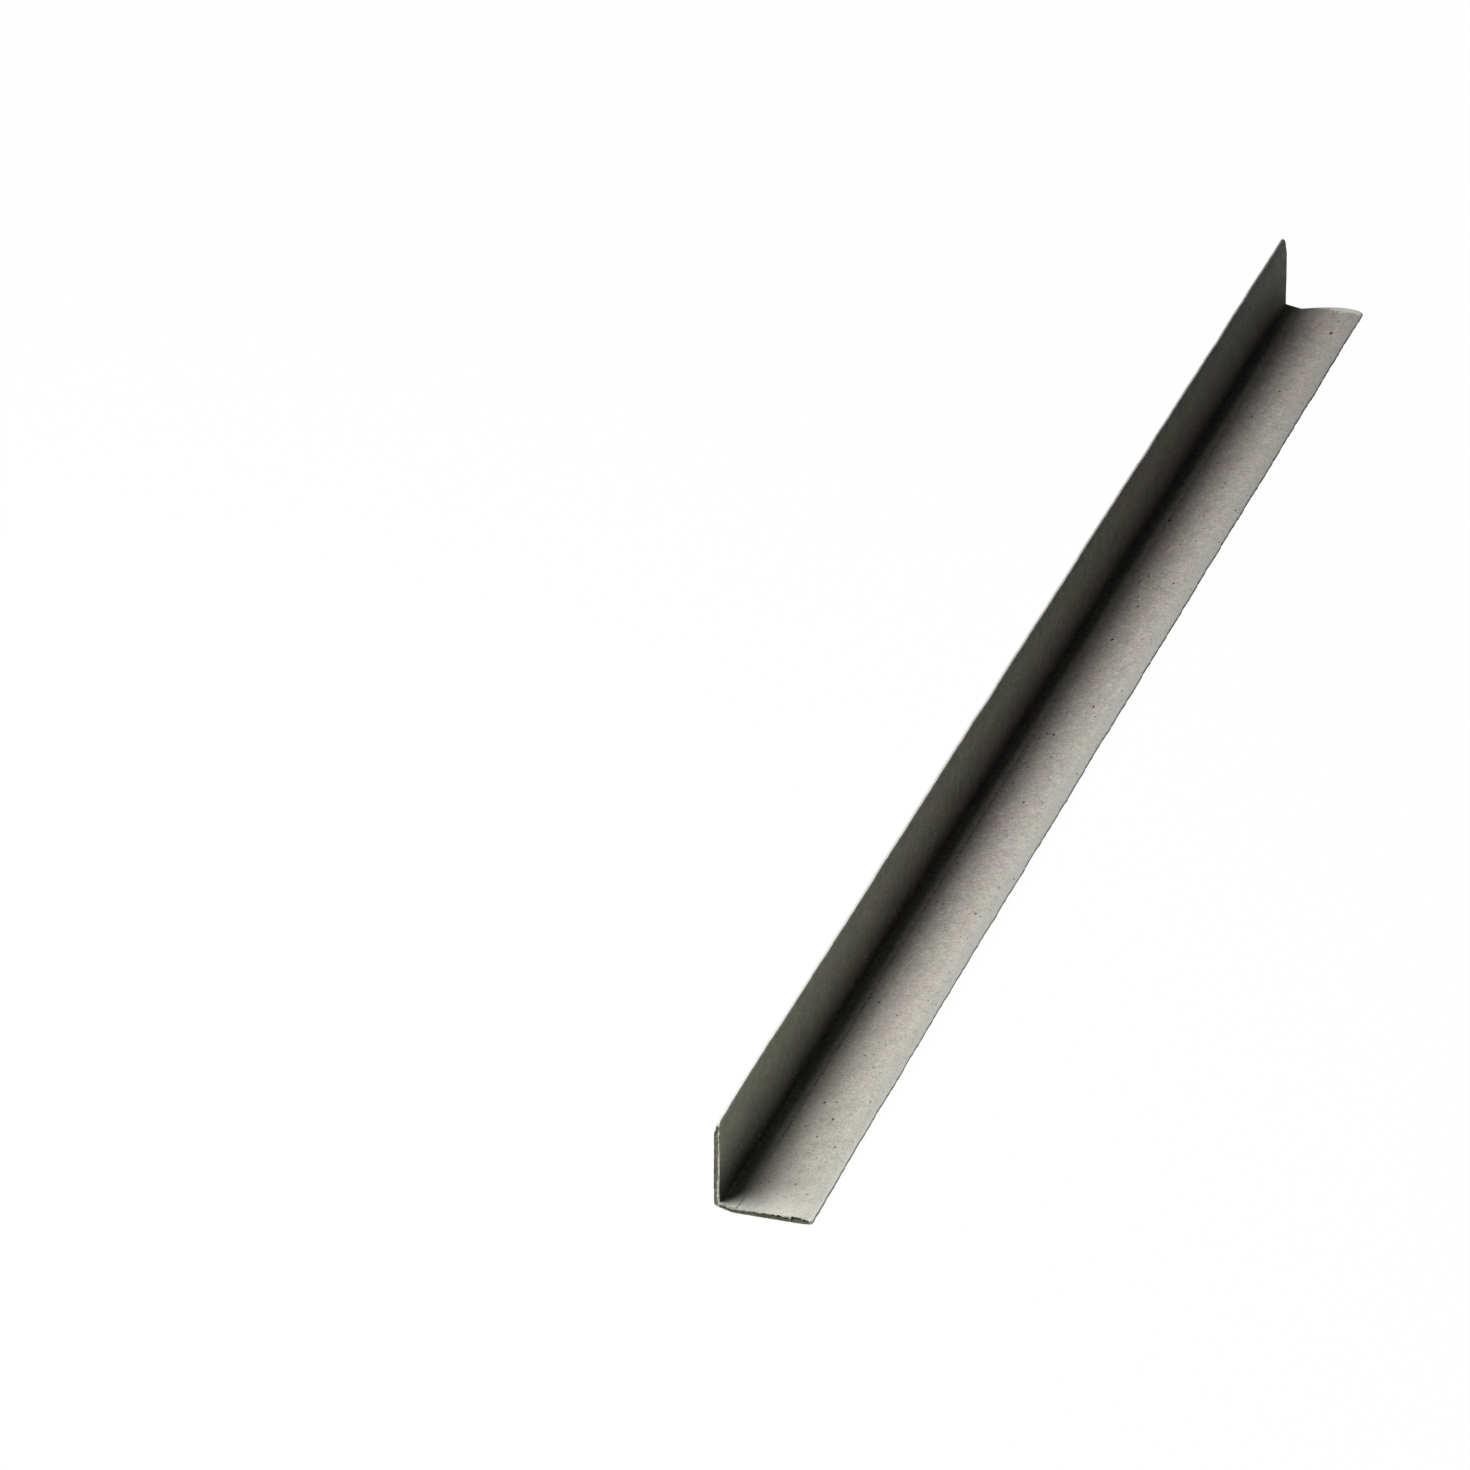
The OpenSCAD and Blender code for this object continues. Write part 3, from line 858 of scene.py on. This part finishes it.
def near_pale(x, z, v, upright, torn_part, tip, edge, teeth, sunk):
    """The near cut's pale ply, as a share from 0 to 1."""
    leg = step(x, *LEG_PART) * (1 - upright)
    low = LOW + LOW_WAVE * edge + LOW_UP * step(z, *LOW_UP_FROM)
    low = low + leg * (LOW_LEG + LOW_LEG_WAVE * edge)
    low += torn_part * (LOW_TORN + LOW_TORN_WAVE * teeth) - LOW_TIP * tip
    lost = HIGH_FOOT - HIGH_MIDDLE * step(z, *HIGH_MIDDLE_FROM) + HIGH_TOP * step(z, *HIGH_TOP_FROM)
    high = HIGH - upright * lost
    high += HIGH_WAVE * sunk * upright
    return smooth((v - low) / LOW_SOFT) * (1 - smooth((v - high) / HIGH_SOFT))


def near_plies(path, x, z, v, waves):
    """Depth and paleness of the near cut's plies, along the cut (rows) and across the wall (v)."""
    edge, teeth, ragged, sunk = (wave(path)[:, None] for wave in waves)
    upright = step(z, *UPRIGHT_PART)
    torn_part = step(x, *TORN_PART) * (1 - upright)
    tip = step(x, *TIP_PART) * (1 - upright)
    pale = near_pale(x, z, v, upright, torn_part, tip, edge, teeth, sunk)
    pocket = smooth((v - POCKET_FROM - POCKET_WAVE * sunk) / POCKET_SOFT)
    pocket = torn_part * (1 - tip) * pocket * (1 - pale)
    flake = bell(x - FLAKE_X, FLAKE_SLANT * v, FLAKE_W) * step(v, *FLAKE_FROM) * (1 - upright)
    proud = NEAR_PROUD + NEAR_PROUD_WAVE * ragged * (1 + torn_part)
    depth = NEAR_SUNK + NEAR_SUNK_WAVE * sunk - pale * proud
    depth = depth + pocket * (POCKET_DEEP + POCKET_DEEP_WAVE * edge)
    crushed = bell(x, CRUSHED_X, CRUSHED_W) * (1 - upright) * (1 - step(v, *CRUSHED_TO))
    foot = upright * (1 - step(z, *LOW_UP_FROM))
    worn_ply = FOOT_PALE * foot + CRUSHED_PALE * crushed
    paleness = np.maximum(np.maximum(pale, FLAKE_PALE * flake), worn_ply)
    return depth - flake * (FLAKE_PROUD + pocket), paleness


def far_plies(path, x, z, v, waves):
    """The same for the far cut, which is cleaner."""
    edge, teeth, ragged, sunk = (wave(path)[:, None] for wave in waves)
    pale = smooth((v - FAR_LOW - FAR_LOW_WAVE * edge) / FAR_SOFT)
    proud = FAR_PROUD + FAR_PROUD_WAVE * ragged
    return FAR_SUNK + FAR_SUNK_WAVE * sunk - pale * proud + FAR_TEETH * teeth, pale


def close_cut(board, ring_data, y, inward, plies):
    """Sawn face of a cut, at y, that closes the ring beside it. Inward is 1 or -1 along Y."""
    first, _, outline, path = ring_data
    waves = [wave_line(*span, 1.0) for span in PLY_WAVES]
    pairs, top_end, tip_end = chords(len(path))
    rounds = HALF * np.arange(1, ROUND_STEPS // 2) / (ROUND_STEPS // 2)
    path = np.concatenate([-rounds[::-1], path, path[-1] + rounds])
    v = np.linspace(0, 1, CUT_ROWS + 1)[None, :]
    a, b = outline[pairs[:, 0]], outline[pairs[:, 1]]
    x, z = ((a + b) / 2).T
    depth, pale = plies(path, x[:, None], z[:, None], v, waves)
    wander = LINE_WANDER * waves[-1](path)[:, None]
    line = np.abs(np.cos(math.pi * (v * PLIES + wander))) ** LINE_THIN
    depth += LINE_DEEP * line * (1 - pale)
    rows = []
    for k, (start, end) in enumerate(pairs):
        flat = a[k] + (b[k] - a[k]) * v[0, 1:-1, None]
        points = np.c_[flat[:, 0], y + inward * depth[k, 1:-1], flat[:, 1]]
        inner = board.add(points, ply_line=line[k, 1:-1], ply_pale=pale[k, 1:-1])
        rows.append([first + start, *range(inner, inner + len(points)), first + end])
    for low, high in zip(rows, rows[1:]):
        for j in range(CUT_ROWS):
            board.face((low[j], low[j + 1], high[j + 1], high[j])[::inward], 1)
    fans = ((rows[0], first + top_end, inward), (rows[-1], first + tip_end, -inward))
    for row, end, turn in fans:
        for j in range(CUT_ROWS):
            board.face((row[j], end, row[j + 1])[::turn], 1)


# The whole board

# Distances of the fine rings from a cut, of the first ring past them, and how far the close ones
# reach and lie apart, then the gap to the wide ones and theirs
FINE_STATIONS = (0, 0.12, 0.35, 0.7, 1.2, 1.9)
CLOSE_FROM, CLOSE_TO, CLOSE_GAP = FINE_STATIONS[-1] + 0.9, 12, 1.1
WIDE_FROM, WIDE_GAP, WIDE_MARGIN = 2, 3.1, 1

# Waves of a cut's line: shortest, longest and size, and how far in from the cut they reach
CUT_WAVES, CUT_WAVES_L = (1.5, 30.0, 0.11), 3


def stations():
    """Distances of the rings from the near cut, and whether each is a fine one."""
    ends = np.array(FINE_STATIONS)
    near = np.arange(CLOSE_FROM, CLOSE_TO, CLOSE_GAP)
    middle = np.arange(near[-1] + WIDE_FROM, LENGTH - near[-1] - WIDE_MARGIN, WIDE_GAP)
    coarse = np.concatenate([near, middle, (LENGTH - near)[::-1]])
    places = [(d, True) for d in ends] + [(d, False) for d in coarse]
    return places + [(LENGTH - d, True) for d in ends[::-1]]


def make_board():
    board = Board()
    near_wobble, far_wobble = wave_line(*CUT_WAVES), wave_line(*CUT_WAVES)
    rings = []
    for d, fine in stations():
        outline, values, marks, path = ring(d, fine)
        outline[:, 1] = np.maximum(outline[:, 1], 0)
        steps = np.linalg.norm(np.diff(outline, axis=0), axis=1)
        along = np.append(0, np.cumsum(steps))
        shift = near_wobble(along) * max(0, 1 - d / CUT_WAVES_L)
        shift -= far_wobble(along) * max(0, 1 - (LENGTH - d) / CUT_WAVES_L)
        first = board.add(np.c_[outline[:, 0], d + shift, outline[:, 1]], **values)
        rings.append((first, marks, outline, path))
    for low, high in zip(rings, rings[1:]):
        join_rings(board, low, high)
    close_cut(board, rings[0], 0.0, 1, near_plies)
    close_cut(board, rings[-1], LENGTH, -1, far_plies)
    return board.to_object()


board = make_board()
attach(board, "root")
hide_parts("angle_board")


# Floor and surroundings


def plain_rays(nodes):
    """1 for rays that see the white background as it is: from the camera, glossy or through."""
    path = nodes.add("ShaderNodeLightPath").node.outputs
    glossy = nodes.maths("MAXIMUM", path["Is Glossy Ray"], path["Is Transmission Ray"])
    return nodes.maths("MAXIMUM", path["Is Camera Ray"], glossy)


def make_floor():
    signs = ((-1, -1), (1, -1), (1, 1), (-1, 1))
    corners = [(a * FLOOR_HALF, b * FLOOR_HALF, 0) for a, b in signs]
    data = bpy.data.meshes.new("floor")
    data.from_pydata(corners, [], [(0, 1, 2, 3)])
    material, nodes = new_material("floor")
    seen = plain_rays(nodes)
    along = nodes.along(nodes.add("ShaderNodeTexCoord", out=3))
    bounce = nodes.mix(nodes.ramp(along, *TURN_TO_FAR), FLOOR_NEAR, FLOOR_FAR)
    bounce = nodes.mix(nodes.ramp(along, *TURN_TO_BEYOND), bounce, FLOOR_BEYOND)
    bounce = nodes.mix(nodes.ramp(along, *TURN_TO_FRONT), bounce, FLOOR_FRONT)
    paint = nodes.mix(seen, bounce, FLOOR_PAINT)
    plain = nodes.add("ShaderNodeBsdfDiffuse", {"Color": paint})
    white = nodes.add("ShaderNodeEmission", {"Color": WHITE, "Strength": 1.0})
    share = nodes.maths("MULTIPLY", seen, FLOOR_WHITE)
    shader = nodes.add("ShaderNodeMixShader", {0: share, 1: plain, 2: white})
    nodes.add("ShaderNodeOutputMaterial", {0: shader})
    data.materials.append(material)
    floor = bpy.data.objects.new("floor", data)
    bpy.context.collection.objects.link(floor)


def make_world():
    world = bpy.data.worlds.new("studio")
    world.use_nodes = True
    nodes = Nodes(world.node_tree)
    seen = plain_rays(nodes)
    strength = nodes.ramp(seen, 0.0, 1.0, AMBIENT, 1.0, "LINEAR")
    colour = nodes.mix(seen, SKY, WHITE)
    shade = nodes.add("ShaderNodeBackground", {"Color": colour, "Strength": strength})
    nodes.add("ShaderNodeOutputWorld", {0: shade})
    bpy.context.scene.world = world


make_camera()
make_lamp()
make_floor()
make_world()
bpy.context.scene.view_settings.view_transform = "Standard"
